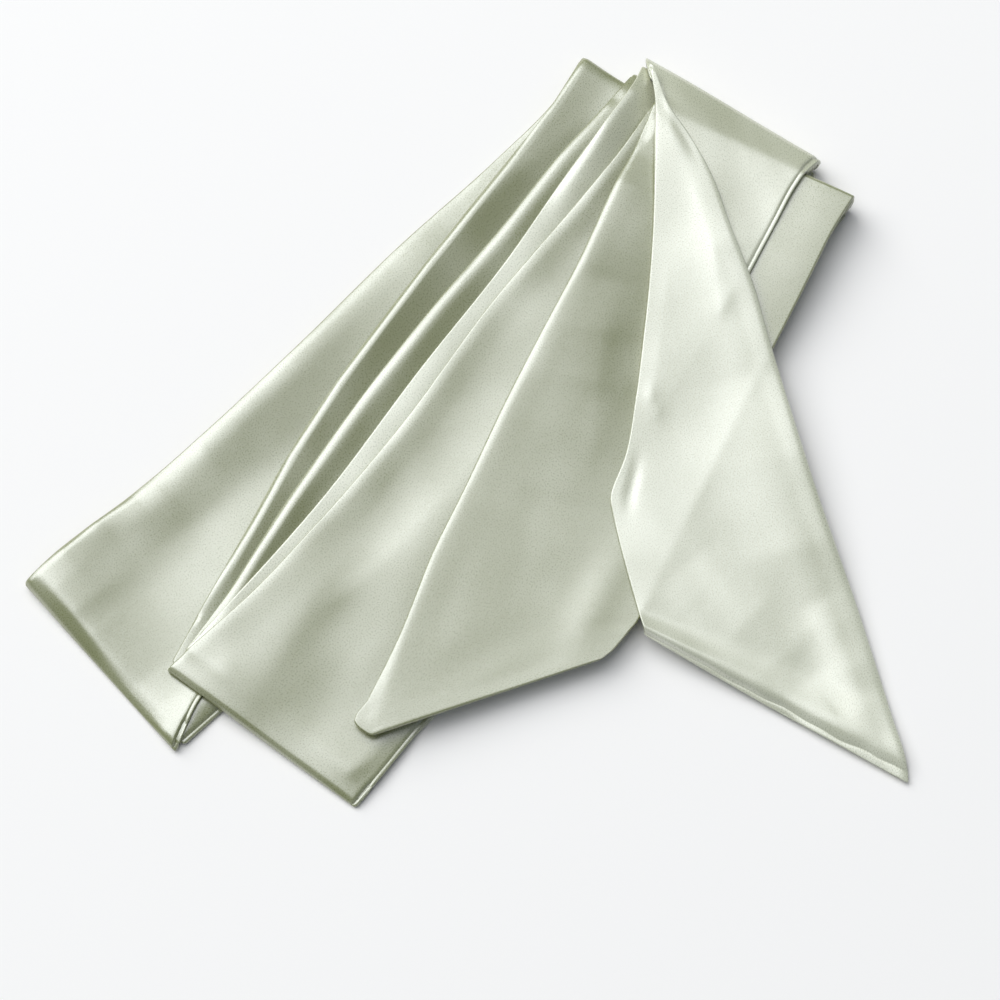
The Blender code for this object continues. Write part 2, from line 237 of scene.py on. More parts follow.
CREASES = {
    "bottom_band": (
        Crease(8, 0, ((-133, -156, 2.0), (-122, -137, 3.0), (-110, -126, 2.0), (-98, -116, 0.5))),
    ),
    "left_band": (
        Crease(3, 34, ((-201, -79, 4.0), (-186, -65, 6.2), (-171, -52, 5.6), (-157, -41, 3.2),
                       (-143, -28, 1.0), (-131, -17, 0.0))),
        Crease(10, 14, ((-160, -57, 0.0), (-150, -47, 1.6), (-140, -39, 2.0), (-128, -28, 1.2),
                        (-116, -15, 0.3))),
        Crease(14, 27, ((-154, -38, 0.0), (-140, -27, 1.6), (-124, -13, 4.2), (-102, 7, 5.2),
                        (-81, 29, 4.8), (-57, 53, 3.4), (-35, 77, 1.8), (-14, 101, 0.6))),
        Crease(8, 24, ((-137, -138, 0.3), (-149, -127, 0.8), (-160, -115, 2.2), (-169, -104, 3.4),
                       (-178, -93, 3.6), (-187, -83, 2.6), (-196, -74, 1.0))),
    ),
    "step_band_1": (
        Crease(2, 18, ((-122, -95, 0.6), (-98, -52, 2.0), (-81, -19, 3.2), (-59, 17, 3.8),
                       (-18, 76, 5.0), (18, 125, 5.2), (41, 157, 5.4), (57, 183, 4.2))),
        Crease(1.5, 9, ((-128, -106, 0.5), (-119, -88, 1.3), (-108, -70, 1.8), (-98, -52, 1.6),
                        (-88, -34, 0.8), (-80, -17, 0.0))),
    ),
    "step_band_2": (
        Crease(4, 16, ((-109, -91, 0.3), (-79, -42, 1.3), (-46, 7, 2.2), (-12, 53, 2.6),
                       (19, 91, 2.6), (47, 130, 2.4), (69, 156, 1.2))),
        Crease(1.5, 8, ((-118, -104, 0.4), (-109, -90, 1.1), (-96, -67, 1.6), (-82, -44, 1.4),
                        (-64, -16, 0.6), (-50, 6, 0.0))),
    ),
    "step_band_3": (
        Crease(3, 15, ((40, 100, 0.0), (53, 124, 2.0), (66, 145, 4.8), (78, 165, 4.8),
                       (86, 180, 2.4))),
    ),
    "middle_band": (
        Crease(14, 0, ((-62, -104, -0.3), (-48, -66, -0.6), (-26, -36, -0.7), (-6, -14, -0.7),
                       (16, 16, -0.3))),
        Crease(18, 0, ((-46, -118, 0.4), (-26, -84, 1.0), (-6, -50, 0.8), (12, -14, 0.3))),
        Crease(26, 26, ((-108, -150, 0.4), (-94, -128, 1.8), (-80, -104, 2.4), (-66, -80, 1.8),
                        (-52, -58, 0.4))),
        Crease(4, 14, ((52, 106, 0.4), (64, 122, 1.6), (76, 140, 1.6))),
    ),
    "under_tail": (
        Crease(5, 36, ((3, -34, 0.0), (18, 0, 2.6), (36, 37, 5.2), (56, 75, 6.0), (73, 113, 4.2),
                       (82, 130, 1.2))),
        Crease(30, 20, ((50, -44, 0.0), (57, -12, 1.6), (61, 15, 2.6), (64, 40, 2.0),
                        (67, 64, 0.0))),
        Crease(5, 50, ((-39, -146, 0.4), (-28, -107, 1.8), (-14, -70, 2.4), (-1, -42, 2.6),
                       (18, 0, 1.2), (29, 21, 0.0))),
        Crease(9, 0, ((76, -62, 0.3), (64, -82, 0.9), (56, -98, 0.9), (50, -112, 0.3))),
        Crease(26, 0, ((186, 112, 3.6), (175, 92, 3.8), (164, 71, 3.0), (150, 44, 0.6))),
    ),
    "turn_band": (
        Crease(6, 20, ((118, 62, 1.6), (117, 82, 3.0), (110, 106, 2.6), (102, 130, 1.6),
                       (95, 154, 0.8))),
        Crease(14, 0, ((126, 138, 0.4), (142, 124, 0.8), (152, 112, 0.6))),
    ),
    "top_tail": (
        Crease(22, 0, ((152, 16, 0.1), (134, -20, 0.4), (120, -48, 0.4), (106, -78, 0.2),
                       (98, -98, 0.1))),
        Crease(2.6, 0, ((80, -20, -0.1), (78, -30, -0.6), (76, -39, -0.7), (75, -49, -0.1))),
        Crease(2, 14, ((88, 84, 0.0), (89, 104, 1.0), (90, 128, 1.7), (90, 150, 1.4),
                       (89, 168, 0.3))),
        Crease(30, 0, ((142, 20, 0.4), (151, -20, 3.0), (160, -62, 4.2), (171, -98, 3.4),
                       (182, -132, 1.2))),
        Crease(3.4, 0, ((93, 153, -0.3), (99, 144, -0.8), (106, 132, -0.7), (112, 120, 0.0))),
        Crease(22, 14, ((156, -126, 0.6), (146, -114, 1.8), (130, -97, 2.0), (114, -82, 0.9),
                        (104, -70, 0.1))),
        Crease(10, 10, ((188, -152, 0.4), (182, -138, 2.0), (176, -120, 2.4), (169, -104, 1.6),
                        (162, -88, 0.2))),
    ),
}
print("creases placed by hand:", sum(len(rows) for rows in CREASES.values()))

# %% [markdown]
# ## The shape of a crease
#
# A crease could have the same bell curve on both sides. But where cloth hangs from a crest, it
# comes down straight on one side, and that plane takes one even shade. So a crease with a
# `fall` has a straight slope of that length on the right of its line. The side of a point, and
# its distance, come from the nearest point of the line.

# %% Height of the creases
WIDEST_CREST = 5.0       # a crest above a slope is rounded over the crease's width, up to this
FOOT_SHARPNESS = 8       # how sharply a slope ends at its foot


def sloped(distance, fall, rounding=2.0):
    """A crest with a straight side: 1 at distance 0, sloping down to 0 at fall, both ends
    rounded: u = 1 - (sqrt(d^2 + r^2) - r) / fall, and then log(1 + exp(s u)) / s, where r is
    the rounding and s the sharpness of the foot."""
    rounded = np.hypot(distance, rounding) - rounding
    return np.logaddexp(0, FOOT_SHARPNESS * (1 - rounded / fall)) / FOOT_SHARPNESS


def relief(name, x, y):
    """Height of a leg's creases: for each, the height at the nearest point of its line, times
    exp(-(d / width)^2), where d is how far away that point is. On the right of a crease with a
    fall, the slope takes the bell's place."""
    height = np.zeros_like(x)
    for crease in CREASES[name]:
        nearest = np.full_like(x, 1e9)
        at_nearest = np.zeros_like(x)
        on_right = np.zeros(x.shape, bool)
        points = [Point(*point) for point in crease.line]
        for first, second in zip(points[:-1], points[1:]):
            run_x, run_y = second.x - first.x, second.y - first.y
            share = (x - first.x) * run_x + (y - first.y) * run_y
            share = np.clip(share / (run_x ** 2 + run_y ** 2), 0, 1)
            off_x, off_y = x - first.x - share * run_x, y - first.y - share * run_y
            away = np.hypot(off_x, off_y)
            closer = away < nearest
            here = first.height + (second.height - first.height) * share
            at_nearest = np.where(closer, here, at_nearest)
            on_right = np.where(closer, off_x * run_y > off_y * run_x, on_right)
            nearest = np.minimum(away, nearest)
        section = np.exp(-(nearest / crease.width) ** 2)
        if crease.fall:
            slope = sloped(nearest, crease.fall, min(crease.width, WIDEST_CREST))
            section = np.where(on_right, slope, section)
        height += at_nearest * section
    return height


sample = relief("top_tail", np.array([130.0]), np.array([-97.0]))
print("the upper tail swells by %.1f mm near its hem" % sample[0])

# %% [markdown]
# ## How cloth lies on a pile
#
# The pile is kept as a height map, one number for each square millimetre of the surface. A
# new leg is a sheet over it: from every high cell the cloth may come down only so steeply,
# and then it is smoothed, wide first and fine last, and held above what carries it. A cloth
# simulation would give much the same, more slowly, and would lose the sewn edges.

# %% A sheet over the pile
CELL = 1.0                                # size of a cell
HALF_X, HALF_Y = 232.0, 212.0             # half the size of the map
GRID_SHAPE = (int(2 * HALF_Y / CELL) + 1, int(2 * HALF_X / CELL) + 1)
STRIDES = (32, 16, 8, 4, 2, 1, 1)         # steps by which the cloth hangs, in cells
SMOOTHING = (20, 14, 10, 7, 5, 4, 3, 3, 2, 2)       # reach of each smoothing, in cells


def hang(field, fall):
    """Let cloth come down from every high cell no more steeply than fall: a cell is at least
    as high as one some steps away, less fall times the distance. Long steps come first."""
    hung = field.copy()
    for stride in STRIDES:
        for down, across in ((0, 1), (1, 0), (0, -1), (-1, 0), (1, 1), (1, -1), (-1, 1), (-1, -1)):
            drop = fall * CELL * stride * math.hypot(down, across)
            moved = np.roll(hung, (stride * down, stride * across), (0, 1))
            hung = np.maximum(hung, moved - drop)
    return hung


def soften(field, reach):
    """Average each cell with those within reach of it, weighted as a tent, both ways."""
    soft = field
    for axis in (0, 1):
        total = np.zeros_like(soft)
        for step in range(-reach, reach + 1):
            total += np.roll(soft, step, axis) * (reach + 1 - abs(step))
        soft = total / (reach + 1) ** 2
    return soft


def sheet_over(pile, fall):
    """Height of the underside of a sheet laid on the pile: hung, then smoothed again and again
    and raised to the pile wherever that leaves it below."""
    sheet = hang(pile, fall)
    for reach in SMOOTHING:
        sheet = np.maximum(soften(sheet, reach), pile)
    return soften(sheet, 1)


print("height map: %d x %d cells" % GRID_SHAPE)

# %% [markdown]
# ## Reading and raising the pile
#
# The legs are grids that run along the strip, and the pile is a grid that runs along X and Y.
# To go from one to the other, the pile is read between its cells, and a leg is sampled so
# finely that no cell under it is missed.

# %% Between the grids
FINE = 5                     # samples for each step of a leg's grid
LEAST_ROWS = 20              # further rows of samples, for a stretch of only two rows
FULL_ROW = 5                 # the first row behind the roll of an end that lies under a fold


def read(field, x, y):
    """Height of a field at points x, y, between the four cells round each."""
    across = np.clip((x + HALF_X) / CELL, 0, GRID_SHAPE[1] - 1.001)
    up = np.clip((y + HALF_Y) / CELL, 0, GRID_SHAPE[0] - 1.001)
    i, j = across.astype(int), up.astype(int)
    p, q = across - i, up - j
    near = field[j, i] * (1 - p) + field[j, i + 1] * p
    far = field[j + 1, i] * (1 - p) + field[j + 1, i + 1] * p
    return near * (1 - q) + far * q


def add_to_pile(pile, x, y, z):
    """Raise the pile to a surface, sampled finely: between four grid points its height is their
    mean, weighted by how near each of them is."""
    fine_rows = np.linspace(0, x.shape[0] - 1, x.shape[0] * FINE + LEAST_ROWS)
    fine_columns = np.linspace(0, x.shape[1] - 1, x.shape[1] * FINE)
    i = np.minimum(fine_rows.astype(int), x.shape[0] - 2)
    j = np.minimum(fine_columns.astype(int), x.shape[1] - 2)
    p, q = (fine_rows - i)[:, None], (fine_columns - j)[None, :]

    def between(grid):
        first = grid[np.ix_(i, j)] * (1 - q) + grid[np.ix_(i, j + 1)] * q
        second = grid[np.ix_(i + 1, j)] * (1 - q) + grid[np.ix_(i + 1, j + 1)] * q
        return first * (1 - p) + second * p

    column = np.round((between(x) + HALF_X) / CELL).astype(int)
    row = np.round((between(y) + HALF_Y) / CELL).astype(int)
    np.maximum.at(pile, (row, column), between(z))


def add_leg(pile, leg, plan, top):
    """Raise the pile by a leg. Where the next leg folds over it, its top side is carried on
    to the fold line, so that the next leg does not sag before the fold."""
    add_to_pile(pile, plan.x, plan.y, top)
    ends = (leg.start, leg.rungs[0], FULL_ROW), (leg.end, leg.rungs[-1], -1 - FULL_ROW)
    for kind, rung, row in ends:
        if kind == "under":
            share = plan.across[row] / plan.width[row]
            fold_x = rung.left_x + (rung.right_x - rung.left_x) * share
            fold_y = rung.left_y + (rung.right_y - rung.left_y) * share
            add_to_pile(pile, np.stack([plan.x[row], fold_x]), np.stack([plan.y[row], fold_y]),
                        np.stack([top[row], top[row]]))


patch_x, patch_y = np.meshgrid(np.arange(0.0, 41.0, 2.0), np.arange(0.0, 21.0, 2.0))
patch_pile = np.zeros(GRID_SHAPE)
add_to_pile(patch_pile, patch_x, patch_y, np.full_like(patch_x, 3.0))
print("a trial patch, 40 x 20 mm, raised", int((patch_pile > 0).sum()), "cells")

# %% [markdown]
# ## The grid of a leg
#
# A leg's surface is a function of two parameters: how far along the strip, and how far
# across it. The grid is coarse in the open and close at the edges, where the cloth turns
# over within a few millimetres.

# %% Rows and columns
STEP = 2.4               # spacing of rows and columns in the open
CLOSE = 0.35             # spacing of rows and columns along a seam
LEG_SHORT = 4.6          # how far short of a fold line the lower leg stops
SHORT_ROLL = 1.6         # reach of the roll at that end
SOFT_EDGE = 0.8          # reach of the roll of a folded long edge
BEAD, LIP = 2.0, 2.0     # a long seam: width of its pressed bead, and of the rise behind it
HEM_BEAD, HEM_LIP = 2.8, 3.6              # the same along the upper tail's hem
BEHIND_LIP = 1.2         # spacing of the last row or column behind a lip
NOSE_INSIDE = 3.0        # how far in a fold's inner layer is turned down
BEHIND_NOSE = (3.3, 4.2, 5.2, 6.6, 8.2)   # places of the rows behind it


def turned_over(reach, count=8):
    """Distances from an edge, close at the edge: reach times 1 minus the cosine of equal
    angles."""
    return reach * (1 - np.cos(np.linspace(0, math.pi / 2, count)))


def edge_steps(kind):
    """Distances from an edge at which the grid has close rows or columns: as turned_over says
    for a roll, and evenly spaced for a seam."""
    if kind == "soft":
        return turned_over(SOFT_EDGE)
    if kind == "seam":
        return np.concatenate([np.arange(0, BEAD + LIP, CLOSE), [BEAD + LIP + BEHIND_LIP]])
    if kind == "hem":
        reach = HEM_BEAD + HEM_LIP
        return np.concatenate([np.arange(0, reach - 2.0, CLOSE), [reach - BEHIND_LIP, reach]])
    if kind == "under":
        return LEG_SHORT + turned_over(SHORT_ROLL, 5)
    return np.concatenate([turned_over(NOSE_INSIDE, 7), BEHIND_NOSE])


print("close rows at a fold, mm in:", edge_steps("fold").round(1))

# %% [markdown]
# ## From a ladder to a grid
#
# A leg's rows run from its left edge to its right edge, and both edges are smooth curves
# through the ends of the rungs. The corners are rounded by drawing both edges in near an end.
# Where the leg is narrow, as at the point of the diagonal fold, the close columns are squeezed
# together, so that the two edges never cross.

# %% The plan of a leg
CORNER = 1.6             # radius of a leg's corners, seen from above
CORNER_SHARE = 0.2       # the largest share of a row's width that a corner takes
EDGE_SHARE = 0.6         # the largest share of a row's width that the close columns take


def through(points, at, where):
    """Smooth curve through points, known at the parameters at, read at where: a cubic
    between each two points, with the slope at a point taken from its neighbours."""
    slope = np.gradient(points, at, axis=0)
    i = np.clip(np.searchsorted(at, where, side="right") - 1, 0, len(at) - 2)
    span = (at[i + 1] - at[i])[:, None]
    t = ((where - at[i]) / (at[i + 1] - at[i]))[:, None]
    return ((2 * t ** 3 - 3 * t ** 2 + 1) * points[i]
            + (t ** 3 - 2 * t ** 2 + t) * span * slope[i]
            + (3 * t ** 2 - 2 * t ** 3) * points[i + 1]
            + (t ** 3 - t ** 2) * span * slope[i + 1])


Plan = namedtuple("Plan", "x y along across length width turned squeeze")


def lay_out(leg):
    """Plan of a leg: each grid point's place is the row's left end plus its distance across
    times the row's direction."""
    rungs = np.array(leg.rungs, float)
    left, right = rungs[:, :2], rungs[:, 2:]
    steps = np.linalg.norm(np.diff((left + right) / 2, axis=0), axis=1)
    at = np.concatenate([[0], np.cumsum(steps)])
    length = at[-1]

    first, last = edge_steps(leg.start), edge_steps(leg.end)
    inner = length - first[-1] - last[-1]
    count = int(round(inner / STEP))
    along = np.concatenate([first, first[-1] + inner * np.arange(1, count) / count,
                            length - last[::-1]])
    left, right = through(left, at, along), through(right, at, along)

    from_end = np.minimum(along - first[0], length - last[0] - along)
    drawn_in = CORNER * (1 - np.sqrt(1 - (1 - np.clip(from_end / CORNER, 0, 1)) ** 2))
    width = np.linalg.norm(right - left, axis=1)
    drawn_in = np.minimum(drawn_in, CORNER_SHARE * width)
    unit = (right - left) / width[:, None]
    left, right = left + unit * drawn_in[:, None], right - unit * drawn_in[:, None]
    width = width - 2 * drawn_in

    at_left, at_right = edge_steps("soft"), edge_steps("seam")
    if leg.turned:
        at_left, at_right = at_right, at_left
    squeeze = np.minimum(1, EDGE_SHARE * width / (at_left[-1] + at_right[-1]))[:, None]
    columns = int(round(width.max() / STEP))
    share = np.arange(1, columns)[None, :] / columns
    inside_left, inside_right = squeeze * at_left[-1], width[:, None] - squeeze * at_right[-1]
    offsets = np.concatenate([squeeze * at_left[None, :],
                              inside_left * (1 - share) + inside_right * share,
                              width[:, None] - squeeze * at_right[::-1][None, :]], axis=1)
    turned = np.zeros(len(along), bool)
    if leg.turned:
        turned = (along > at[leg.turned[0]]) & (along < at[leg.turned[1]])
    return Plan(left[:, :1] + unit[:, :1] * offsets, left[:, 1:] + unit[:, 1:] * offsets,
                along, offsets, length, width[:, None], turned[:, None], squeeze)


for leg in LEGS[-2:]:
    print(leg.name, "grid:", lay_out(leg).x.shape)

# %% [markdown]
# ## Edges
#
# A folded edge is a soft roll, a quarter ellipse from full thickness down to nothing. A sewn
# edge has a narrow pressed bead, a groove where the stitches pull, and then a lip that rises
# to the full thickness. Both could be drawn as profiles and swept, but here they are shares
# of the thickness, so several edges multiply where they meet. At the upper tail's hem the
# groove wanders a little, as a turned tube does.

# %% Edge profiles
BEAD_HEIGHT = 0.55       # height of a bead, as a share of the full thickness
GROOVE_HEIGHT = 0.06     # what is left of the thickness in a groove
GROOVE_RISE = 0.3        # distance over which the very edge rises to that


def roll(distance, reach):
    """Share of the full thickness at a distance from a rolled edge: a quarter ellipse."""
    return np.sqrt(1 - (1 - np.clip(distance / reach, 0, 1)) ** 2)


def sewn(distance, bead, lip):
    """Share of the full thickness at a distance from a sewn edge: half an ellipse for the
    bead, and a quarter ellipse for the lip behind it, with a groove between them."""
    middle = bead / 2
    ridge = BEAD_HEIGHT * np.sqrt(np.clip(1 - ((distance - middle) / middle) ** 2, 0, 1))
    behind = roll(distance - bead, lip)
    groove = GROOVE_HEIGHT * np.clip(distance / GROOVE_RISE, 0, 1)
    return np.maximum(np.maximum(ridge, behind), groove)


def wander(distance):
    """How far a hem's groove strays from its line, as a sum of three uneven waves."""
    return (0.45 * np.sin(distance / 7.3 + 1.0) + 0.3 * np.sin(distance / 3.1 + 0.4)
            + 0.25 * np.sin(distance / 13.0))


print("share left 1 mm in from a roll and from a seam: %.2f and %.2f"
      % (roll(1.0, 2.0), sewn(1.0, BEAD, LIP)))

# %% [markdown]
# ## Puffs and ripples
#
# A strip that is folded in two stands up a little behind its edge, and comes down again
# further in. The same happens behind a fold, where the cloth is pushed together. That is
# called a puff here. Along the strip it isn't even, so waves of two lengths make it stronger
# and weaker. Last, cloth that lies free is never quite flat, and small ripples see to that.

# %% Puffs
# rise: how far in it has risen by two thirds. at: where it starts to come down. fall: over what
# length it does.
Puff = namedtuple("Puff", "height rise at fall")
EDGE_PUFFS = {
    "bottom_band": Puff(0.3, 2.0, 4.0, 10.0), "left_band": Puff(0.2, 1.5, 3.0, 10.0),
    "step_band_1": Puff(0.1, 1.2, 2.0, 8.0), "step_band_2": Puff(0.5, 2.0, 5.0, 9.0),
    "step_band_3": Puff(0.7, 2.5, 9.0, 14.0), "middle_band": Puff(0.5, 1.6, 3.0, 9.0),
    "under_tail": Puff(0.2, 1.6, 3.0, 10.0), "turn_band": Puff(0.3, 1.5, 3.0, 6.0),
    "top_tail": Puff(0.5, 1.4, 2.5, 6.0)}
FOLD_PUFFS = {
    "left_band": Puff(0.6, 4.0, 8.0, 16.0), "middle_band": Puff(0.4, 2.0, 4.0, 12.0),
    "turn_band": Puff(0.9, 8.0, 12.0, 40.0), "step_band_1": Puff(0.8, 4.0, 7.0, 14.0),
    "under_tail": Puff(0.2, 4.0, 7.0, 14.0), "top_tail": Puff(3.0, 4.6, 7.5, 16.0)}


def puffed(distance, puff):
    """Height of a puff at a distance from its edge: (1 - exp(-(d / rise)^2)) at the edge's
    side, and a straight slope down behind its crest."""
    return (puff.height * (1 - np.exp(-(distance / puff.rise) ** 2))
            * sloped(distance - puff.at, puff.fall))


def uneven(plan, phase):
    """A share that varies along the strip round 1, as a sum of two waves. It grows from a
    tenth at the strip's start to its full size 117 mm further on."""
    waves = 1 + 0.2 * np.sin(plan.along / 19.0 + phase) + 0.1 * np.sin(plan.along / 7.7 + phase)
    return (waves * np.clip(0.1 + plan.along / 130.0, 0, 1))[:, None]


def rippled(plan, phase):
    """Small unevenness of cloth that lies free: waves along and across, added up."""
    along, across = plan.along[:, None], plan.across
    return (0.06 * np.sin(along / 9.3 + across / 21.0 + phase)
            + 0.03 * np.sin(along / 5.1 - across / 12.0 + 2.3 * phase)
            + 0.03 * np.sin(along / 14.0 - across / 6.5 + 4.1 * phase))


print("puffs: %d along edges, %d behind folds" % (len(EDGE_PUFFS), len(FOLD_PUFFS)))

# %% [markdown]
# ## How full each layer is
#
# A leg has an upper and a lower layer, which meet all round. Each layer is full in the open
# and empty at its rim, and its share in between comes from the profiles above. At a fold the
# roll is called a nose. The upper tail's right edge is the strip's folded edge, because that
# tail is turned over, and its left edge is a fold first and a seam further on. The lower
# tail's hem and edges are pressed flat, so they are plain rolls.

# %% Shares at the rims
FLAT_ROLL = 2.0          # reach of the lower layer's roll along a seam
HEM_ROLL = 1.2           # reach of the roll along the lower tail's hem
NOSES = {"left_band": 3.6, "turn_band": 4.6, "middle_band": 2.6}
PLAIN_NOSE = 3.0         # reach of the nose of a fold that isn't in the table
TURN_NOSE = 0.35         # reach of the nose along the turned-over fold
PRESSED = ("under_tail",)                 # legs with two pressed long edges


def end_shares(leg, kind, distance, across):
    """Shares of the upper and the lower layer at a distance from an end of a leg."""
    if kind == "under":
        return 2 * (roll(distance - LEG_SHORT, SHORT_ROLL),)
    if kind == "hem" and leg.turned:
        strayed = np.maximum(distance + wander(across) * roll(distance, FLAT_ROLL), 0)
        return sewn(strayed, HEM_BEAD, HEM_LIP), roll(distance, FLAT_ROLL)
    if kind == "hem":
        return 2 * (roll(distance, HEM_ROLL),)
    return roll(distance, NOSES.get(leg.name, PLAIN_NOSE)), roll(distance, NOSE_INSIDE)


def side_shares(leg, plan, from_left, from_right):
    """Shares of the upper and the lower layer between the two long edges: the share of the
    left edge times that of the right one."""
    if leg.turned:
        right = roll(from_right, SOFT_EDGE)
        left = np.where(plan.turned, roll(from_left, NOSE_INSIDE), roll(from_left, FLAT_ROLL))
        return roll(from_left, TURN_NOSE) * right, left * right
    left, right = roll(from_left, SOFT_EDGE), sewn(from_right, BEAD, LIP)
    if leg.name in PRESSED:
        right = roll(from_right, SOFT_EDGE)
    return left * right, left * roll(from_right, FLAT_ROLL)


print("noses, mm:", NOSES)

# %% [markdown]
# ## Laying the legs
#
# Now everything that raises a leg is added up. Its upper layer follows every crease, its lower
# layer only some of each ridge. At a fold the lower layer drops to the underside of the leg
# that it is folded over, and the upper layer rolls down to the same foot, so the nose closes
# round both. Solving for the real fold would be exact, but nobody sees inside it.

# %% Laying
THICK = 1.2              # thickness of the flattened tube
GAP = 0.35               # clear space between one leg and the next
DEEPEST = 0.7            # the deepest trough, as a share of the thickness
FOLLOWED = 0.6           # share of a ridge that the lower layer follows
FOOT_REACH = 12.0        # how far in from a fold or the upper tail's hem the foot is used
ROW_SLACK = 0.01         # so that the last row of a nose counts as inside it


def swelling(leg, plan, number):
    """How far a leg's upper layer rises above a plain wall: its creases, its ripples, the puff
    behind its folded edge, and the puff behind its fold or hem, added up."""
    from_edge = plan.width - plan.across if leg.turned else plan.across
    at_last = leg.turned or leg.end not in ("under", "hem")
    from_fold = plan.length - plan.along if at_last else plan.along
    swell = relief(leg.name, plan.x, plan.y) + rippled(plan, number)
    swell += (puffed(from_edge / plan.squeeze, EDGE_PUFFS[leg.name])
              * plan.squeeze * uneven(plan, number))
    if leg.name in FOLD_PUFFS:
        swell += puffed(from_fold, FOLD_PUFFS[leg.name])[:, None]
    return swell


def lay(leg, pile, undersides):
    """Plan of a leg, and the heights of its upper and its lower layer on the pile. Half the
    way from a layer to its foot, or to the other layer, is taken off as its share goes to
    nothing."""
    plan = lay_out(leg)
    under = sheet_over(pile, leg.fall)
    under = under + GAP * np.clip(under - 0.05, 0, 1)
    undersides[leg.name] = under
    resting = read(under, plan.x, plan.y)
    swell = swelling(leg, plan, len(undersides))
    high = resting + THICK + np.maximum(swell, -DEEPEST * THICK)
    low = resting + FOLLOWED * np.maximum(swell, 0)

    foot = low
    from_left, from_right = plan.across / plan.squeeze, (plan.width - plan.across) / plan.squeeze
    full_top, full_bottom = side_shares(leg, plan, from_left, from_right)
    for kind, distance in ((leg.start, plan.along), (leg.end, plan.length - plan.along)):
        distance = distance[:, None]
        at_top, at_bottom = end_shares(leg, kind, distance, plan.across)
        full_top, full_bottom = full_top * at_top, full_bottom * at_bottom
        if kind in undersides:
            carrier = read(undersides[kind], plan.x, plan.y)
            low = np.where(distance <= NOSE_INSIDE + ROW_SLACK, carrier, low)
            foot = np.where(distance < FOOT_REACH, carrier, foot)
        elif kind == "hem" and leg.turned:
            foot = np.where(distance < FOOT_REACH, resting, foot)
    if leg.turned:
        nose = plan.turned & (from_left <= NOSE_INSIDE + ROW_SLACK)
        carrier = read(undersides[leg.turned_over], plan.x, plan.y)
        low, foot = np.where(nose, carrier, low), np.where(nose, carrier, foot)

    top = high - (high - foot) / 2 * (1 - full_top)
    bottom = low + (high - low) / 2 * (1 - full_bottom)
    add_leg(pile, leg, plan, top)
    return plan, top, bottom


trial = lay(LEGS[0], np.zeros(GRID_SHAPE), {})
print("the lowest leg alone is %.1f mm high" % trial[1].max())

# %% [markdown]
# ## From grids to a mesh
#
# The upper and the lower layer share the points of their rim, so the tube is closed all
# round. The second layer's faces run the other way, so that both point outwards. A Solidify
# modifier then gives the satin its own thickness, a quarter of a millimetre, on the inside.

# %% Tube mesh
SATIN_THICK = 0.25


def make_tube(name, plan, top, bottom):
    """Close an upper and a lower grid into one tube. UVs are metres along and across."""
    rows, columns = top.shape
    count = rows * columns
    upper = np.stack([plan.x, plan.y, top], axis=-1)
    lower = np.stack([plan.x, plan.y, bottom], axis=-1)[1:-1, 1:-1]
    index = np.arange(count).reshape(rows, columns)
    below = index.copy()
    below[1:-1, 1:-1] = count + np.arange((rows - 2) * (columns - 2)).reshape(rows - 2, -1)

    def quads(grid):
        return np.stack([grid[:-1, :-1], grid[:-1, 1:], grid[1:, 1:], grid[1:, :-1]],
                        axis=-1).reshape(-1, 4)

    corner = index[0, 0], index[0, 1], index[1, 0]
    points = upper.reshape(-1, 3)
    across, ahead = points[corner[1]] - points[corner[0]], points[corner[2]] - points[corner[0]]
    faces_up, faces_down = quads(index), quads(below)[:, ::-1]
    if across[0] * ahead[1] - across[1] * ahead[0] < 0:
        faces_up, faces_down = faces_up[:, ::-1], faces_down[:, ::-1]
    faces = np.concatenate([faces_up, faces_down])
    vertices = np.concatenate([points, lower.reshape(-1, 3)]) * MM

    mesh = bpy.data.meshes.new(name)
    mesh.vertices.add(len(vertices))
    mesh.vertices.foreach_set("co", vertices.ravel())
    mesh.loops.add(faces.size)
    mesh.loops.foreach_set("vertex_index", faces.ravel())
    mesh.polygons.add(len(faces))
    mesh.polygons.foreach_set("loop_start", np.arange(0, faces.size, 4))
    mesh.update(calc_edges=True)
    along = np.broadcast_to(plan.along[:, None], top.shape)
    flat = np.stack([along, plan.across], axis=-1)
    uv = np.concatenate([flat.reshape(-1, 2), flat[1:-1, 1:-1].reshape(-1, 2)]) * MM
    mesh.uv_layers.new(name="along_across").data.foreach_set("uv", uv[faces.ravel()].ravel())
    mesh.shade_smooth()

    tube = bpy.data.objects.new(name, mesh)
    bpy.context.scene.collection.objects.link(tube)
    wall = tube.modifiers.new("satin thickness", "SOLIDIFY")
    wall.thickness = SATIN_THICK * MM
    wall.offset = -1.0
    return tube


# %% [markdown]
# ## Shader maths in plain Python
#
# A material is a graph of nodes. Written out link by link, its sums are hard to read. The
# small class below wraps a socket, so that `1 - grain * 0.5` adds the Math nodes by itself.

# %% Sockets that can be added up
class Signal:
    """A number that varies over a surface: one output socket of a node."""

    def __init__(self, graph, socket):
        self.graph, self.socket = graph, socket

    def combine(self, operation, first, second):
        return self.graph.add("ShaderNodeMath", {"operation": operation}, {0: first, 1: second})

    def __add__(self, other):
        return self.combine("ADD", self, other)

    def __radd__(self, other):
        return self.combine("ADD", other, self)

    def __sub__(self, other):
        return self.combine("SUBTRACT", self, other)

    def __rsub__(self, other):
        return self.combine("SUBTRACT", other, self)

    def __mul__(self, other):
        return self.combine("MULTIPLY", self, other)

    def __rmul__(self, other):
        return self.combine("MULTIPLY", other, self)


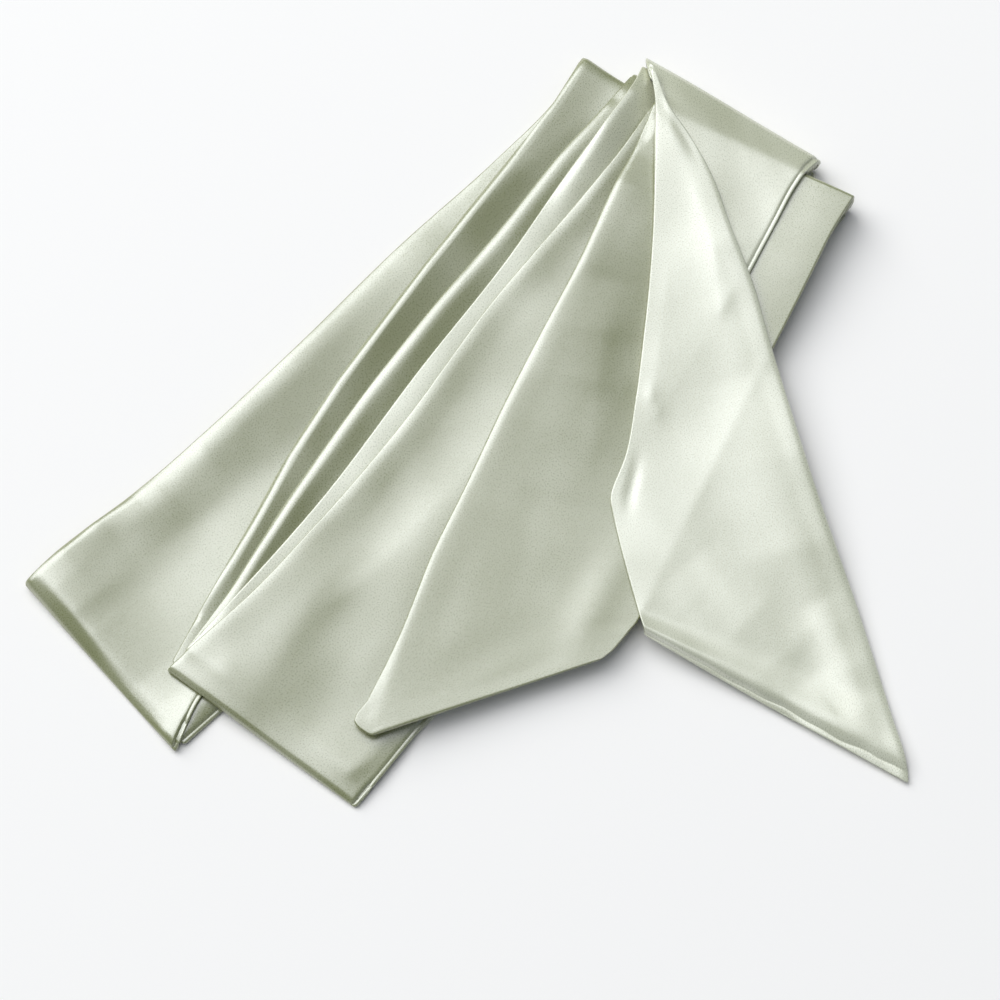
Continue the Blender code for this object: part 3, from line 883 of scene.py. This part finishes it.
class Graph:
    """The nodes of one material."""

    def __init__(self, name):
        self.material = bpy.data.materials.new(name)
        self.material.use_nodes = True
        self.tree = self.material.node_tree
        self.shader = self.tree.nodes["Principled BSDF"]

    def set(self, node, inputs):
        """Give sockets their values, or link them to signals."""
        for key, value in inputs.items():
            if isinstance(value, Signal):
                self.tree.links.new(value.socket, node.inputs[key])
            else:
                node.inputs[key].default_value = value

    def add(self, kind, settings=None, inputs=None, output=0):
        """A new node: its settings first, then its inputs. Returns one output as a signal."""
        node = self.tree.nodes.new(kind)
        for key, value in (settings or {}).items():
            setattr(node, key, value)
        self.set(node, inputs or {})
        return Signal(self, node.outputs[output])


# %% [markdown]
# ## Satin
#
# Satin has long threads floating side by side over the weave, so it is smooth one way and
# finely ribbed the other. Seen close it has a soft grain. Its body colour is a deep sage
# olive, and what makes it look pale is the white light that the threads throw back. So the
# base colour here is darker than the cloth looks, and the gloss is strong but spread wide.
# On top of that, each stretch gets its own share of the pale colour, a painted sheen that lightens
# its base colour in place of the light its threads throw back.

# %% Satin material
DEEP_SAGE = (0.215, 0.230, 0.080, 1.0)
# The pale colour stands for sheen: mixing towards it paints sheen into the base colour. Clouds and
# grain also mix towards it, as a tone that differs at random.
PALE_SAGE_AND_SHEEN = (0.750, 0.760, 0.590, 1.0)
SATIN_IOR = 2.8
SATIN_ROUGHNESS = 0.29
THREADS = (500.0, 6000.0)         # marks to the metre, along and across the strip
GRAIN = (1500.0, 1500.0)
CLOUDS = (22.0, 38.0)
THREAD_DEPTH = 0.00003            # metres


def satin(name, painted_sheen):
    """Satin with its threads along the strip. The two body colours are mixed by the stretch's
    painted sheen, a share that paints the pale colour in where its threads would throw back the
    lamps' light, plus half of how far the clouds are from their mean, plus a quarter of the same
    for the grain."""
    graph = Graph(name)
    place = graph.add("ShaderNodeTexCoord", output="UV")

    def noise(marks):
        stretched = graph.add("ShaderNodeMapping", {"vector_type": "POINT"},
                              {"Vector": place, "Scale": (*marks, 1.0)})
        return graph.add("ShaderNodeTexNoise", {"noise_dimensions": "2D"},
                         {"Vector": stretched, "Scale": 1.0, "Detail": 1.0}, "Fac")

    threads, grain, clouds = noise(THREADS), noise(GRAIN), noise(CLOUDS)
    # Painted sheen, plus a random tone from the clouds and the grain.
    sheen_and_tone = painted_sheen + (clouds - 0.5) * 0.5 + (grain - 0.5) * 0.25
    colour = graph.add("ShaderNodeMix", {"data_type": "RGBA"},
                       {"Factor": sheen_and_tone, 6: DEEP_SAGE, 7: PALE_SAGE_AND_SHEEN}, 2)
    height = threads * 0.9 + grain * 0.1
    bumped = graph.add("ShaderNodeBump", None,
                       {"Height": height, "Strength": 1.0, "Distance": THREAD_DEPTH}, "Normal")
    graph.set(graph.shader, {
        "Base Color": colour, "Roughness": SATIN_ROUGHNESS + (grain - 0.5) * 0.12,
        "Normal": bumped, "IOR": SATIN_IOR, "Metallic": 0.0})
    return graph.material


print("satin: roughness", SATIN_ROUGHNESS, "and index of refraction", SATIN_IOR)

# %% [markdown]
# ## Dressing the model
#
# Every leg stands in for the plain wall of the same name, which is hidden. The size that this
# stretch is cut to is worked out too: the tube all round, so twice its width.

# %% Make every leg
WIDTH = 100.0            # finished width of the sash
# Painted sheen and shade: each stretch's share of the pale colour in its base colour. It makes
# some stretches look more lit than others, and under_tail, with none, look more shaded.
PAINTED_SHEEN = {"top_tail": 0.78, "middle_band": 0.12, "under_tail": 0.0, "turn_band": 0.6,
            "step_band_3": 0.5}
PLAIN_PAINTED_SHEEN = 0.06    # of the legs that aren't in the table

pile = np.zeros(GRID_SHAPE)
undersides = {}
for leg in LEGS:
    plan, top, bottom = lay(leg, pile, undersides)
    tube = make_tube(leg.name + "_satin", plan, top, bottom)
    # The stretch's base colour carries its painted sheen.
    tube.data.materials.append(satin("satin_" + leg.name, PAINTED_SHEEN.get(leg.name, PLAIN_PAINTED_SHEEN)))
    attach(tube, "root")
    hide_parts(leg.name)
    run = plan.along[-1] - plan.along[0]
    cut = 2 * float(np.sum((plan.width[1:, 0] + plan.width[:-1, 0]) / 2 * np.diff(plan.along)))
    run * MM
    min(cut * MM * MM, 2 * WIDTH * run * MM * MM)
    print("%-12s %3d x %3d grid, %.0f mm long, up to %.1f mm high"
          % (leg.name, *top.shape, run, top.max()))

# %% [markdown]
# ## The floor
#
# The sash lies on a plain pale floor, so large that its edge is never seen. It is a hair below
# the sash, because two faces in one place would fight.

# %% Floor
FLOOR_SIZE = 12.0        # metres
FLOOR_DROP = 0.05
FLOOR_COLOUR = (0.95, 0.925, 0.89, 1.0)

floor_mesh = bpy.data.meshes.new("floor")
half, level = FLOOR_SIZE / 2, -FLOOR_DROP * MM
floor_mesh.from_pydata([(-half, -half, level), (half, -half, level), (half, half, level),
                        (-half, half, level)], [], [(0, 1, 2, 3)])
floor = bpy.data.objects.new("floor", floor_mesh)
bpy.context.scene.collection.objects.link(floor)
floor_graph = Graph("floor")
floor_graph.set(floor_graph.shader, {"Base Color": FLOOR_COLOUR, "Roughness": 0.9})
floor_mesh.materials.append(floor_graph.material)
print("floor: %.0f m square" % FLOOR_SIZE)

# %% [markdown]
# ## The light
#
# Satin is half mirror, so what counts is what it can see. A long panel high above the pile
# lies along the strips: cloth that faces up is bright, and cloth that leans to either side of
# the strips goes dark. A broad panel up to the left, behind the pile, lights the edges that
# face it, as a window does. The room is pale too, a little cool, which tints the shadows.
# Lamps could be turned by hand, but here each is aimed at the pile by a formula.

# %% Lamps and room
# right, back and up: direction from the pile. Lengths are metres, turn is degrees round the
# direction of aim, and power is watts.
Lamp = namedtuple("Lamp", "name right back up distance width depth turn power")
LAMPS = (
    Lamp("overhead_panel", -0.04, 0.19, 0.97, 4.0, 5.2, 1.6, 50.0, 49.0),
    Lamp("window_panel", -0.53, 0.50, 0.72, 8.0, 7.2, 7.2, 0.0, 655.0),
)
LAMP_COLOUR = (0.96, 0.98, 1.0)
ROOM_COLOUR, ROOM_STRENGTH = (0.80, 0.88, 1.0, 1.0), 0.24

for lamp in LAMPS:
    unit = np.array([lamp.right, lamp.back, lamp.up])
    unit /= np.linalg.norm(unit)
    light = bpy.data.objects.new(lamp.name, bpy.data.lights.new(lamp.name, "AREA"))
    light.data.shape = "RECTANGLE"
    light.data.size, light.data.size_y = lamp.width, lamp.depth
    light.data.energy = lamp.power
    light.data.color = LAMP_COLOUR
    light.location = SIGHT + unit * lamp.distance
    aim = Euler((-math.asin(unit[1]), math.atan2(unit[0], unit[2]), 0.0)).to_matrix()
    aim = aim @ Euler((0.0, 0.0, math.radians(lamp.turn))).to_matrix()
    light.rotation_euler = aim.to_euler()
    bpy.context.scene.collection.objects.link(light)

world = bpy.data.worlds.new("room")
world.use_nodes = True
background = world.node_tree.nodes["Background"]
background.inputs["Color"].default_value = ROOM_COLOUR
background.inputs["Strength"].default_value = ROOM_STRENGTH
bpy.context.scene.world = world
bpy.context.scene.view_settings.view_transform = "Standard"
print("lamps:", ", ".join(lamp.name for lamp in LAMPS))
